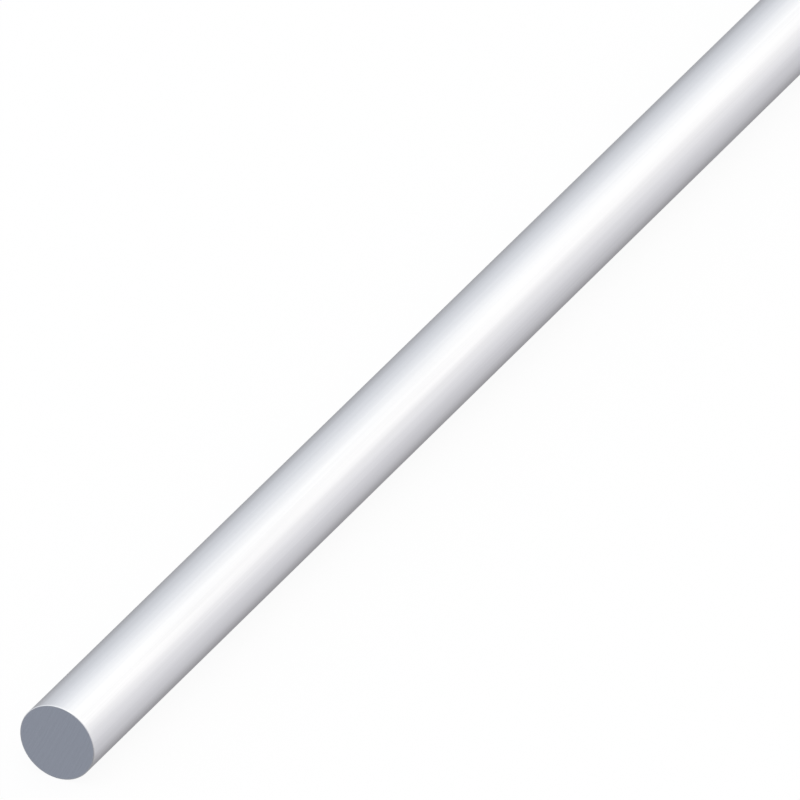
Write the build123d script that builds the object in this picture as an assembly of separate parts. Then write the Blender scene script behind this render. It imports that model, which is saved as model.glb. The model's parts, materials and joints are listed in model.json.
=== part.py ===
"""A plain round bar of aluminium, drawn to size and cut square to a stock length.

The bar is one solid piece. Its axis lies along X, level, and the origin is on that
axis, midway between the two cut faces.
"""

from build123d import *

import os

# Driving dimensions, in millimetres
bar_diameter = 20.0  # size of the drawn round section
bar_length = 1000.0  # from cut face to cut face
edge_break = 0.15  # leg of the 45 degree bevel that deburring leaves round each cut end


def first_cut():
    """The plane of the cut at the -X end, centred on the bar's axis and facing along the bar."""
    return Plane(origin=(-bar_length / 2, 0, 0), x_dir=(0, 1, 0), z_dir=(1, 0, 0))


def round_bar():
    """The full round section, run straight from cut to cut, with both cut ends deburred."""
    with BuildPart() as bar:
        with BuildSketch(first_cut()):
            Circle(bar_diameter / 2)
        extrude(amount=bar_length)
        cut_faces = bar.faces().filter_by(GeomType.PLANE)
        chamfer(cut_faces.edges(), edge_break)
    return bar.part


os.makedirs("parts", exist_ok=True)
export_step(round_bar(), "parts/round_bar.step")
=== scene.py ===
import json
import math

import bpy
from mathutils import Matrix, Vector


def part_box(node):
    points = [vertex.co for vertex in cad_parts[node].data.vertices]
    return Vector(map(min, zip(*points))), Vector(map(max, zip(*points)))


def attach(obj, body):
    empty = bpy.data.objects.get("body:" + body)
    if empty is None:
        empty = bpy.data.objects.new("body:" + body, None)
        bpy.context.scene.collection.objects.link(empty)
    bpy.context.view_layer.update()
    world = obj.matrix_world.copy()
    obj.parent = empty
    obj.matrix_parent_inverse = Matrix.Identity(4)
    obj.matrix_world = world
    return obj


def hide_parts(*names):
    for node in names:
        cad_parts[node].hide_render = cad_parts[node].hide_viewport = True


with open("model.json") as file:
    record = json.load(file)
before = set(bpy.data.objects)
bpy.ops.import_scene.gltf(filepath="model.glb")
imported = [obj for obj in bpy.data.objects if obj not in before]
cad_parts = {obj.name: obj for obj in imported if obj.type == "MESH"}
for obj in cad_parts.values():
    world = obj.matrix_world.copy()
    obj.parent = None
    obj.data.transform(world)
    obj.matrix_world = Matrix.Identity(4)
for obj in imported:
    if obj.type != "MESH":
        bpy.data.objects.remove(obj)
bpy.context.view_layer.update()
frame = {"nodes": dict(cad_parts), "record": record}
print("frame loaded:", ", ".join(frame["nodes"]))

barLow, barHigh = (Vector(corner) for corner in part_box("round_bar"))
barLength = barHigh.x - barLow.x
barRadius = barHigh.y
shank = next(mount for mount in frame["record"]["mounts"] if mount["name"] == "shank")
edgeBreak = (barLength - shank["dims"]["length_mm"] / 1000) / 2  # leg of the bevel round each cut
nearCut = Vector((barLow.x, 0, 0))  # centre of the cut that faces the camera


# camera: a very long lens, so the bar's two edges stay nearly parallel

cameraSet = {
    "azimuth": -62.4,  # degrees, 0 looks along +Y
    "elevation": 30.65,
    "lens": 1600.0,  # mm
    "sensor": 36.0,
    "viewWidth": 9.51,  # bar diameters from side to side of the view
    "aimRight": 4.077,  # the view's centre from the near cut's centre, in bar diameters
    "aimUp": 4.073,
    "clip": (0.1, 100.0),  # metres
}


def makeCamera():
    turn, lift = math.radians(cameraSet["azimuth"]), math.radians(cameraSet["elevation"])
    back = Vector((math.sin(turn) * math.cos(lift), -math.cos(turn) * math.cos(lift), math.sin(lift)))
    right = Vector((math.cos(turn), math.sin(turn), 0))
    up = back.cross(right)
    diameter = 2 * barRadius
    aim = nearCut + diameter * (cameraSet["aimRight"] * right + cameraSet["aimUp"] * up)
    distance = cameraSet["viewWidth"] * diameter * cameraSet["lens"] / cameraSet["sensor"]
    lensData = bpy.data.cameras.new("camera")
    lensData.lens, lensData.sensor_width = cameraSet["lens"], cameraSet["sensor"]
    lensData.clip_start, lensData.clip_end = cameraSet["clip"]
    camera = bpy.data.objects.new("camera", lensData)
    camera.rotation_mode = "QUATERNION"
    camera.location = aim + back * distance
    camera.rotation_quaternion = (-back).to_track_quat("-Z", "Y")
    bpy.context.collection.objects.link(camera)
    bpy.context.scene.camera = camera
    print("camera at", tuple(round(v, 3) for v in camera.location))


makeCamera()


# small helpers for node trees and colours


def addNode(tree, kind, feed=None, **settings):
    node = tree.nodes.new(kind)
    for name, value in settings.items():
        setattr(node, name, value)
    for socket, value in (feed or {}).items():
        if isinstance(value, bpy.types.NodeSocket):
            tree.links.new(value, node.inputs[socket])
        else:
            node.inputs[socket].default_value = value
    return node


def mathOf(tree, operation, *values):
    return addNode(tree, "ShaderNodeMath", dict(enumerate(values)), operation=operation).outputs[0]


def vectorOf(tree, x=0.0, y=0.0, z=0.0):
    return addNode(tree, "ShaderNodeCombineXYZ", {0: x, 1: y, 2: z}).outputs[0]


def partsOf(tree, vector):
    return addNode(tree, "ShaderNodeSeparateXYZ", {0: vector}).outputs


def scaledOf(tree, vector, by):  # each of the vector's three numbers times its own
    return addNode(tree, "ShaderNodeVectorMath", {0: vector, 1: by}, operation="MULTIPLY").outputs[0]


def rangeOf(tree, value, start, end, low=0.0, high=1.0, steps="LINEAR"):  # start to end becomes low to high
    feed = {"Value": value, "From Min": start, "From Max": end, "To Min": low, "To Max": high}
    return addNode(tree, "ShaderNodeMapRange", feed, interpolation_type=steps).outputs["Result"]


def mixOf(tree, share, a, b, kind="FLOAT", **settings):
    # the node keeps its sockets for numbers, vectors and colours in different places
    first, result = {"FLOAT": (2, 0), "VECTOR": (4, 1), "RGBA": (6, 2)}[kind]
    feed = {0: share, first: a, first + 1: b}
    return addNode(tree, "ShaderNodeMix", feed, data_type=kind, **settings).outputs[result]


def addSockets(tree, direction, *sockets):
    found = {}
    for name, kind, *value in sockets:
        socket = tree.interface.new_socket(name, in_out=direction, socket_type="NodeSocket" + kind)
        if value:
            socket.default_value = value[0]
        found[name] = socket.identifier
    return found


def opaque(colour):
    return (*colour, 1.0)


def grey(level):
    return (level, level, level, 1.0)


# finishes: shared effects first, then the three metals that place them

markShape = {
    "noiseMiddle": (0.28, 0.72),  # nearly all of a noise lies between these
    "finePerBroad": 5.0,  # fine lines across one broad line
    "fineDepth": 0.25,  # a fine line is about as steep as a broad one, so it is far less deep
    "scratchRun": 25.0,  # length of a saw tooth's scratch, in its own widths
    "leastRub": 0.3,  # share of its given width that a rubbed line keeps where it is thinnest
}


def newShaderGroup(name, inputs, outputs):
    tree = bpy.data.node_groups.new(name, "ShaderNodeTree")
    addSockets(tree, "INPUT", *inputs)
    addSockets(tree, "OUTPUT", *outputs)
    return tree, tree.nodes.new("NodeGroupInput").outputs, tree.nodes.new("NodeGroupOutput").inputs


def noiseOf(tree, place, size, detail):  # from 0 to 1, in patches of about that size
    scale = mathOf(tree, "DIVIDE", 1.0, size)
    noise = addNode(tree, "ShaderNodeTexNoise", {"Vector": place, "Scale": scale, "Detail": detail})
    return rangeOf(tree, noise.outputs["Fac"], *markShape["noiseMiddle"])


def drawnOut(tree, place, times):  # makes a pattern that much longer along X
    return scaledOf(tree, place, vectorOf(tree, mathOf(tree, "DIVIDE", 1.0, times), 1.0, 1.0))


def acrossBar(tree, place):  # without how far along the bar it is
    return scaledOf(tree, place, (0.0, 1.0, 1.0))


def fineOf(tree, width):
    return mathOf(tree, "DIVIDE", width, markShape["finePerBroad"])


def makeDrawLines():  # fine lines that the die leaves, straight along X
    tree, given, wanted = newShaderGroup(
        "drawLines",
        [
            ("Vector", "Vector"),
            ("Line Width", "Float", 0.001),
            ("Run", "Float", 300.0),
            ("Fine Share", "Float", 0.5),
        ],
        [("Lines", "Float"), ("Height", "Float")],
    )
    place = drawnOut(tree, given["Vector"], given["Run"])
    broad = noiseOf(tree, place, given["Line Width"], detail=1.0)
    fine = noiseOf(tree, place, fineOf(tree, given["Line Width"]), detail=4.0)
    tree.links.new(mixOf(tree, given["Fine Share"], broad, fine), wanted["Lines"])
    tree.links.new(mixOf(tree, markShape["fineDepth"], broad, fine), wanted["Height"])
    return tree


def makeSawArcs():  # the arcs that a round blade leaves as it is fed across the end
    tree, given, wanted = newShaderGroup(
        "sawArcs",
        [
            ("Vector", "Vector"),
            ("Blade Centre", "Vector"),
            ("Arc Width", "Float", 0.0006),
            ("Fine Share", "Float", 0.6),
        ],
        [("Arcs", "Float"), ("Height", "Float")],
    )
    flat = acrossBar(tree, given["Vector"])
    reach = addNode(tree, "ShaderNodeVectorMath", {0: flat, 1: given["Blade Centre"]}, operation="DISTANCE")
    place = vectorOf(tree, reach.outputs["Value"])
    broad = noiseOf(tree, place, given["Arc Width"], detail=1.0)
    # a tooth's scratch is short, so the fine arcs also change a little along their length
    nearby = scaledOf(tree, flat, (1 / markShape["scratchRun"],) * 3)
    along = addNode(tree, "ShaderNodeVectorMath", {0: place, 1: nearby}, operation="ADD").outputs[0]
    fine = noiseOf(tree, along, fineOf(tree, given["Arc Width"]), detail=3.0)
    tree.links.new(mixOf(tree, given["Fine Share"], broad, fine), wanted["Arcs"])
    tree.links.new(mixOf(tree, markShape["fineDepth"], broad, fine), wanted["Height"])
    return tree


def makeToneDrift():  # slow, cloudy change of tone over the metal
    tree, given, wanted = newShaderGroup(
        "toneDrift",
        [("Vector", "Vector"), ("Patch Size", "Float", 0.02), ("Stretch", "Float", 1.0)],
        [("Drift", "Float")],
    )
    place = drawnOut(tree, given["Vector"], given["Stretch"])
    tree.links.new(noiseOf(tree, place, given["Patch Size"], detail=3.0), wanted["Drift"])
    return tree


def makeEdgeRub():  # the bright line that handling rubs along an edge, broken here and there
    tree, given, wanted = newShaderGroup(
        "edgeRub",
        [
            ("Vector", "Vector"),
            ("From Edge", "Float"),
            ("Width", "Float", 0.001),
            ("Gap Size", "Float", 0.003),
        ],
        [("Rub", "Float")],
    )
    breaks = noiseOf(tree, given["Vector"], given["Gap Size"], detail=2.0)
    width = mathOf(tree, "MULTIPLY", given["Width"], mathOf(tree, "ADD", breaks, markShape["leastRub"]))
    near = rangeOf(tree, given["From Edge"], 0.0, width, 1.0, 0.0, steps="SMOOTHSTEP")
    tree.links.new(near, wanted["Rub"])
    return tree


drawLines = makeDrawLines()
sawArcs = makeSawArcs()
toneDrift = makeToneDrift()
edgeRub = makeEdgeRub()


def placeGroup(tree, group, feed):
    return addNode(tree, "ShaderNodeGroup", feed, node_tree=group).outputs


def newMetal(name, finish):
    metal = bpy.data.materials.new(name)
    metal.use_nodes = True
    metal.diffuse_color = opaque(finish["colour"])
    shader = metal.node_tree.nodes["Principled BSDF"]
    shader.inputs["Metallic"].default_value = 1.0
    shader.inputs["Specular Tint"].default_value = grey(finish["edgeOnShare"])
    return metal, metal.node_tree, addNode(metal.node_tree, "ShaderNodeTexCoord").outputs["Object"]


rubbed = {"colour": (0.90, 0.905, 0.915), "roughness": 0.24}  # the metal where an edge is rubbed bright


def finishMetal(tree, finish, marks, drift, height, rub=None):
    shader = tree.nodes["Principled BSDF"]
    # tone runs from dark and dull, 0, to light and slick, 1
    tone = mixOf(tree, finish["marksShare"], drift, marks)
    dark, light = ([c * (1 + side * finish["toneSwing"]) for c in finish["colour"]] for side in (-1, 1))
    colour = mixOf(tree, tone, opaque(dark), opaque(light), "RGBA")
    dull, slick = (finish["roughness"] + side * finish["roughnessSwing"] for side in (1, -1))
    rough = mixOf(tree, tone, dull, slick)
    if rub is not None:
        rubShare = mathOf(tree, "MULTIPLY", rub, finish["rubShare"])
        colour = mixOf(tree, rubShare, colour, opaque(rubbed["colour"]), "RGBA")
        rough = mixOf(tree, rubShare, rough, rubbed["roughness"])
    tree.links.new(colour, shader.inputs["Base Color"])
    tree.links.new(rough, shader.inputs["Roughness"])
    bump = addNode(tree, "ShaderNodeBump", {"Height": height, "Strength": 1.0, "Distance": finish["relief"]})
    tree.links.new(bump.outputs["Normal"], shader.inputs["Normal"])


sideFinish = {
    "colour": (0.83, 0.84, 0.86),
    "toneSwing": 0.05,
    "marksShare": 0.7,  # of the tone's swing, how much is lines; the rest is slow drift
    "roughness": 0.34,
    "roughnessSwing": 0.06,
    "lineWidth": 0.0011,  # metres
    "lineRun": 300.0,  # line widths from one end of a line to the other
    "fineShare": 0.5,
    "patchSize": 0.008,
    "patchStretch": 12.0,
    "relief": 26e-6,  # depth of the lines, in metres
    "edgeOnShare": 0.55,  # of its brightness, how much the metal keeps where it is seen edge-on
    "rubWidth": 0.0009,
    "rubShare": 0.4,
}


def makeDrawnMetal():
    metal, tree, where = newMetal("drawnAluminium", sideFinish)
    lines = placeGroup(
        tree, drawLines,
        {
            "Vector": where,
            "Line Width": sideFinish["lineWidth"],
            "Run": sideFinish["lineRun"],
            "Fine Share": sideFinish["fineShare"],
        },
    )
    drift = placeGroup(
        tree, toneDrift,
        {"Vector": where, "Patch Size": sideFinish["patchSize"], "Stretch": sideFinish["patchStretch"]},
    )
    fromMiddle = mathOf(tree, "ABSOLUTE", partsOf(tree, where)["X"])
    fromEnd = mathOf(tree, "SUBTRACT", barLength / 2 - edgeBreak, fromMiddle)
    rub = placeGroup(
        tree, edgeRub, {"Vector": where, "From Edge": fromEnd, "Width": sideFinish["rubWidth"]}
    )
    finishMetal(tree, sideFinish, lines["Lines"], drift["Drift"], lines["Height"], rub["Rub"])
    return metal


cutFinishAndShade = {
    # the cut ends' colour is darker and bluer than the side's: partly a sawn face's duller tone, partly
    # painted shade that stands in for the shade on the ends
    "colour": (0.555, 0.592, 0.68),
    "toneSwing": 0.10,
    "marksShare": 0.75,  # of the tone's swing, how much is arcs; the rest is slow drift
    "roughness": 0.44,
    "roughnessSwing": 0.10,
    "arcWidth": 0.0007,  # metres
    "fineShare": 0.6,
    "nearBlade": (0.0, 0.115, 0.055),  # blade centres, in metres from the bar's axis
    "farBlade": (0.0, -0.06, 0.11),
    "patchSize": 0.006,
    "relief": 16e-6,
    "edgeOnShare": 0.55,
    "rubWidth": 0.0004,
    "rubShare": 0.2,
}


def makeSawnMetal():
    metal, tree, where = newMetal("sawnAluminiumAndShade", cutFinishAndShade)
    farEnd = mathOf(tree, "GREATER_THAN", partsOf(tree, where)["X"], 0.0)
    blade = mixOf(tree, farEnd, cutFinishAndShade["nearBlade"], cutFinishAndShade["farBlade"], "VECTOR")
    arcs = placeGroup(
        tree, sawArcs,
        {
            "Vector": where,
            "Blade Centre": blade,
            "Arc Width": cutFinishAndShade["arcWidth"],
            "Fine Share": cutFinishAndShade["fineShare"],
        },
    )
    drift = placeGroup(tree, toneDrift, {"Vector": where, "Patch Size": cutFinishAndShade["patchSize"]})
    fromAxis = addNode(tree, "ShaderNodeVectorMath", {0: acrossBar(tree, where)}, operation="LENGTH")
    fromRim = mathOf(tree, "SUBTRACT", barRadius - edgeBreak, fromAxis.outputs["Value"])
    rub = placeGroup(
        tree, edgeRub, {"Vector": where, "From Edge": fromRim, "Width": cutFinishAndShade["rubWidth"]}
    )
    finishMetal(tree, cutFinishAndShade, arcs["Arcs"], drift["Drift"], arcs["Height"], rub["Rub"])
    return metal


bevelFinish = {
    "colour": (0.86, 0.87, 0.885),
    "toneSwing": 0.06,
    "marksShare": 0.5,  # of the tone's swing, how much is the file's flats; the rest is slow drift
    "roughness": 0.30,
    "roughnessSwing": 0.06,
    "filePatch": 0.0012,  # the short flats that a file leaves as it goes round
    "patchSize": 0.005,
    "relief": 4e-6,
    "edgeOnShare": 0.55,
}


def makeBevelMetal():
    metal, tree, where = newMetal("deburredAluminium", bevelFinish)
    flats = placeGroup(tree, toneDrift, {"Vector": where, "Patch Size": bevelFinish["filePatch"]})
    drift = placeGroup(tree, toneDrift, {"Vector": where, "Patch Size": bevelFinish["patchSize"]})
    finishMetal(tree, bevelFinish, flats["Drift"], drift["Drift"], flats["Drift"])
    return metal


sideMetal = makeDrawnMetal()
cutMetal = makeSawnMetal()
bevelMetal = makeBevelMetal()
print("finishes made:", sideMetal.name, cutMetal.name, bevelMetal.name)


# the bar: one round section swept from cut to cut, with a bevel round each end

barShape = {
    "Length": barLength,
    "Radius": barRadius,
    "Edge Break": edgeBreak,
    "Sides": 192,
    "Rings": 51,  # shared evenly along the straight length, from bevel to bevel
    "Corner Angle": 0.5,  # radians; an edge that turns by more is sharp
    "Side Metal": sideMetal,
    "Bevel Metal": bevelMetal,
    "Cut Metal": cutMetal,
}

bevelFacing, cutFacing = 0.3, 0.95  # how squarely a bevel or a cut looks along X, at the least


def makeBarTree():
    tree = bpy.data.node_groups.new("roundStock", "GeometryNodeTree")
    sockets = addSockets(
        tree, "INPUT",
        ("Length", "Float"), ("Radius", "Float"), ("Edge Break", "Float"), ("Sides", "Int"), ("Rings", "Int"),
        ("Corner Angle", "Float"),
        ("Side Metal", "Material"), ("Bevel Metal", "Material"), ("Cut Metal", "Material"),
    )
    addSockets(tree, "OUTPUT", ("Geometry", "Geometry"))
    given = tree.nodes.new("NodeGroupInput").outputs
    halfLength = mathOf(tree, "MULTIPLY", given["Length"], 0.5)
    nearEnd = mathOf(tree, "MULTIPLY", halfLength, -1.0)
    straight = mathOf(tree, "SUBTRACT", halfLength, given["Edge Break"])  # from the middle to the bevel

    line = addNode(
        tree, "GeometryNodeCurvePrimitiveLine",
        {"Start": vectorOf(tree, nearEnd), "End": vectorOf(tree, halfLength)},
    )
    count = mathOf(tree, "ADD", given["Rings"], 2.0)
    points = addNode(tree, "GeometryNodeResampleCurve", {"Curve": line.outputs[0], "Count": count})
    # the first and last rings stand on the cuts, and those between share the straight length
    index = tree.nodes.new("GeometryNodeInputIndex").outputs[0]
    ring = mathOf(tree, "SUBTRACT", index, 1.0)
    share = mathOf(tree, "DIVIDE", ring, mathOf(tree, "SUBTRACT", given["Rings"], 1.0))
    fromMiddle = mathOf(tree, "SUBTRACT", share, 0.5)
    reach = mathOf(tree, "MULTIPLY", fromMiddle, mathOf(tree, "MULTIPLY", straight, 2.0))
    held = addNode(tree, "ShaderNodeClamp", {"Value": reach, "Min": nearEnd, "Max": halfLength}).outputs[0]
    placed = addNode(
        tree, "GeometryNodeSetPosition", {"Geometry": points.outputs[0], "Position": vectorOf(tree, held)}
    )

    past = mathOf(tree, "MAXIMUM", mathOf(tree, "SUBTRACT", mathOf(tree, "ABSOLUTE", held), straight), 0.0)
    circle = addNode(tree, "GeometryNodeCurvePrimitiveCircle", {"Resolution": given["Sides"], "Radius": 1.0})
    swept = addNode(
        tree, "GeometryNodeCurveToMesh",
        {
            "Curve": placed.outputs[0],
            "Profile Curve": circle.outputs[0],
            "Scale": mathOf(tree, "SUBTRACT", given["Radius"], past),
            "Fill Caps": True,
        },
    )

    smooth = addNode(tree, "GeometryNodeSetShadeSmooth", {"Geometry": swept.outputs[0]}, domain="FACE")
    angle = tree.nodes.new("GeometryNodeInputMeshEdgeAngle").outputs["Unsigned Angle"]
    corner = mathOf(tree, "GREATER_THAN", angle, given["Corner Angle"])
    crisp = addNode(
        tree, "GeometryNodeSetShadeSmooth",
        {"Geometry": smooth.outputs[0], "Selection": corner, "Shade Smooth": False}, domain="EDGE",
    )

    facing = partsOf(tree, tree.nodes.new("GeometryNodeInputNormal").outputs["Normal"])["X"]
    endwise = mathOf(tree, "ABSOLUTE", facing)
    dressed = addNode(tree, "GeometryNodeRealizeInstances", {"Geometry": crisp.outputs[0]})
    # every face takes the side's metal, then the bevels and the cuts take their own
    for metal, least in (("Side Metal", -1.0), ("Bevel Metal", bevelFacing), ("Cut Metal", cutFacing)):
        dressed = addNode(
            tree, "GeometryNodeSetMaterial",
            {
                "Geometry": dressed.outputs[0],
                "Selection": mathOf(tree, "GREATER_THAN", endwise, least),
                "Material": given[metal],
            },
        )
    result = tree.nodes.new("NodeGroupOutput")
    tree.links.new(dressed.outputs[0], result.inputs["Geometry"])
    return tree, sockets


bakeStrips = {  # each part's place on the bake map: its lowest corner, and its width and height
    "side": ((0.005, 0.005), (0.99, 0.735)),
    "nearCut": ((0.005, 0.755), (0.24, 0.24)),
    "farCut": ((0.255, 0.755), (0.24, 0.24)),
    "nearBevel": ((0.51, 0.8), (0.48, 0.04)),
    "farBevel": ((0.51, 0.9), (0.48, 0.04)),
}


def placeOnBakeMap(mesh):  # lays the surface out on the map that an export bakes through
    bakeMap = mesh.uv_layers.new(name="OFBake")
    for face in mesh.polygons:
        facing = face.normal.x
        end = "near" if facing < 0 else "far"
        middle = math.atan2(face.center.y, -face.center.z)
        for loop in face.loop_indices:
            x, y, z = mesh.vertices[mesh.loops[loop].vertex_index].co
            turn = math.atan2(y, -z)  # from the line that the bar rests on, -pi to pi
            turn += 2 * math.pi * round((middle - turn) / (2 * math.pi))
            around = 0.5 + turn / (2 * math.pi)
            if abs(facing) > cutFacing:
                strip, u, v = end + "Cut", 0.5 + y / (2 * barRadius), 0.5 + z / (2 * barRadius)
            elif abs(facing) > bevelFacing:
                strip, u, v = end + "Bevel", around, (barLength / 2 - abs(x)) / edgeBreak
            else:
                strip, u, v = "side", 0.5 + x / barLength, around
            (left, low), (width, height) = bakeStrips[strip]
            bakeMap.uv[loop].vector = (left + width * u, low + height * v)


def makeBar():
    tree, sockets = makeBarTree()
    bar = bpy.data.objects.new("drawnBar", bpy.data.meshes.new("drawnBar"))
    bpy.context.collection.objects.link(bar)
    shaper = bar.modifiers.new("roundStock", "NODES")
    shaper.node_group = tree
    for name, value in barShape.items():
        shaper[sockets[name]] = value
    graph = bpy.context.evaluated_depsgraph_get()
    mesh = bpy.data.meshes.new_from_object(bar.evaluated_get(graph), depsgraph=graph)
    mesh.name = "drawnBar"
    bar.modifiers.clear()
    bar.data = mesh
    placeOnBakeMap(mesh)
    return bar


bar = makeBar()
print("bar made:", len(bar.data.vertices), "points,", len(bar.data.polygons), "faces")
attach(bar, "root")
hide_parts("round_bar")


# studio: a pale floor under an even, bright sky

studio = {
    "brightTowards": (0.0, -0.52, 0.85),  # where the sky is brightest
    "skyStops": [  # from the dark side, 0, to the bright side, 1
        (0.0, (0.265, 0.27, 0.275)),
        (0.2, (0.515, 0.495, 0.505)),
        (0.38, (0.765, 0.75, 0.773)),
        (0.5, (0.77, 0.757, 0.78)),
        (0.72, (0.988, 0.972, 0.982)),
        (1.0, (1.85, 1.79, 1.665)),
    ],
    "farTint": (1.04, 1.08, 1.1),  # the sky's colour shifts to this towards +Y
    "farTintFrom": (-0.6, 0.6),  # over this stretch of Y
    # down this stretch of X, the sky turns alike in front and behind, and bright overhead
    "evenFrom": (0.65, 0.35),
    "evenGround": -0.75,  # its level straight below, where -1 is the dark side's and 1 the bright side's
    "evenTop": 0.57,  # and straight above
    # further down X, it turns darker below the horizon and brighter just above it
    "tailFrom": (-0.1, -0.6),
    "tailFall": 1.9,  # how fast its level falls with depth below the horizon
    "tailRise": 0.7,  # and rises with height above it
    "tailLevel": 0.03,  # at the horizon
    "backdrop": 0.997,
    "floorSize": 6.0,  # metres from side to side
    "floorShade": 0.08,  # how much of the floor's tone comes from the light, and takes a shadow
}


def makeSky():
    world = bpy.data.worlds.new("softSky")
    world.use_nodes = True
    tree = world.node_tree
    tree.nodes.clear()
    x, y, z = partsOf(tree, addNode(tree, "ShaderNodeTexCoord").outputs["Generated"])

    # three ways for the sky to run from dark, -1, to bright, 1, each for its own stretch of X
    bright = Vector(studio["brightTowards"]).normalized()
    keyed = mathOf(tree, "ADD", mathOf(tree, "MULTIPLY", y, bright.y), mathOf(tree, "MULTIPLY", z, bright.z))
    upward = mathOf(tree, "MULTIPLY_ADD", z, 0.5, 0.5)
    squared = mathOf(tree, "MULTIPLY", upward, upward)
    overhead = rangeOf(tree, squared, 0.0, 1.0, studio["evenGround"], studio["evenTop"])
    falling = mathOf(tree, "MULTIPLY_ADD", z, studio["tailFall"], studio["tailLevel"])
    rising = mathOf(tree, "MULTIPLY_ADD", z, studio["tailRise"], studio["tailLevel"])
    lower = mathOf(tree, "MINIMUM", falling, rising)
    beyond = mixOf(tree, rangeOf(tree, x, *studio["tailFrom"]), overhead, lower)
    evenShare = rangeOf(tree, x, *studio["evenFrom"], steps="SMOOTHSTEP")
    level = mixOf(tree, evenShare, keyed, beyond)

    ramp = addNode(tree, "ShaderNodeValToRGB", {"Fac": rangeOf(tree, level, -1.0, 1.0)})
    stops = ramp.color_ramp.elements
    while len(stops) < len(studio["skyStops"]):
        stops.new(0.5)
    for stop, (position, colour) in zip(stops, studio["skyStops"]):
        stop.position = position
        stop.color = opaque(colour)
    farShare = rangeOf(tree, y, *studio["farTintFrom"])
    tinted = mixOf(
        tree, farShare, ramp.outputs["Color"], opaque(studio["farTint"]), "RGBA", blend_type="MULTIPLY"
    )

    # the camera sees a plain backdrop in the sky's place
    sky = addNode(tree, "ShaderNodeBackground", {"Color": tinted, "Strength": 1.0})
    plain = addNode(tree, "ShaderNodeBackground", {"Color": grey(studio["backdrop"]), "Strength": 1.0})
    seen = addNode(tree, "ShaderNodeLightPath").outputs["Is Camera Ray"]
    mix = addNode(tree, "ShaderNodeMixShader", {0: seen, 1: sky.outputs[0], 2: plain.outputs[0]})
    tree.links.new(mix.outputs[0], tree.nodes.new("ShaderNodeOutputWorld").inputs["Surface"])
    bpy.context.scene.world = world


def makeFloor():
    half = studio["floorSize"] / 2
    level = -barRadius  # the round bar rests on it along one line
    corners = [(-half, -half, level), (half, -half, level), (half, half, level), (-half, half, level)]
    mesh = bpy.data.meshes.new("floor")
    mesh.from_pydata(corners, [], [(0, 1, 2, 3)])
    floor = bpy.data.objects.new("floor", mesh)
    bpy.context.collection.objects.link(floor)
    # the metal mirrors the sky alone, and the sky's light reaches it from below too
    floor.visible_glossy = False
    floor.visible_shadow = False
    paint = bpy.data.materials.new("paleFloor")
    paint.use_nodes = True
    tree = paint.node_tree
    shader = tree.nodes["Principled BSDF"]
    shader.inputs["Base Color"].default_value = grey(studio["floorShade"])
    shader.inputs["Roughness"].default_value = 1.0
    shader.inputs["Specular IOR Level"].default_value = 0.0
    shader.inputs["Emission Color"].default_value = grey(1.0)
    shader.inputs["Emission Strength"].default_value = studio["backdrop"] - studio["floorShade"]
    clear = addNode(tree, "ShaderNodeBsdfTransparent")  # seen from below, the floor isn't there
    under = addNode(tree, "ShaderNodeNewGeometry").outputs["Backfacing"]
    mix = addNode(tree, "ShaderNodeMixShader", {0: under, 1: shader.outputs[0], 2: clear.outputs[0]})
    tree.links.new(mix.outputs[0], tree.nodes["Material Output"].inputs["Surface"])
    mesh.materials.append(paint)


makeSky()
makeFloor()
bpy.context.scene.view_settings.view_transform = "Standard"
print("studio made")
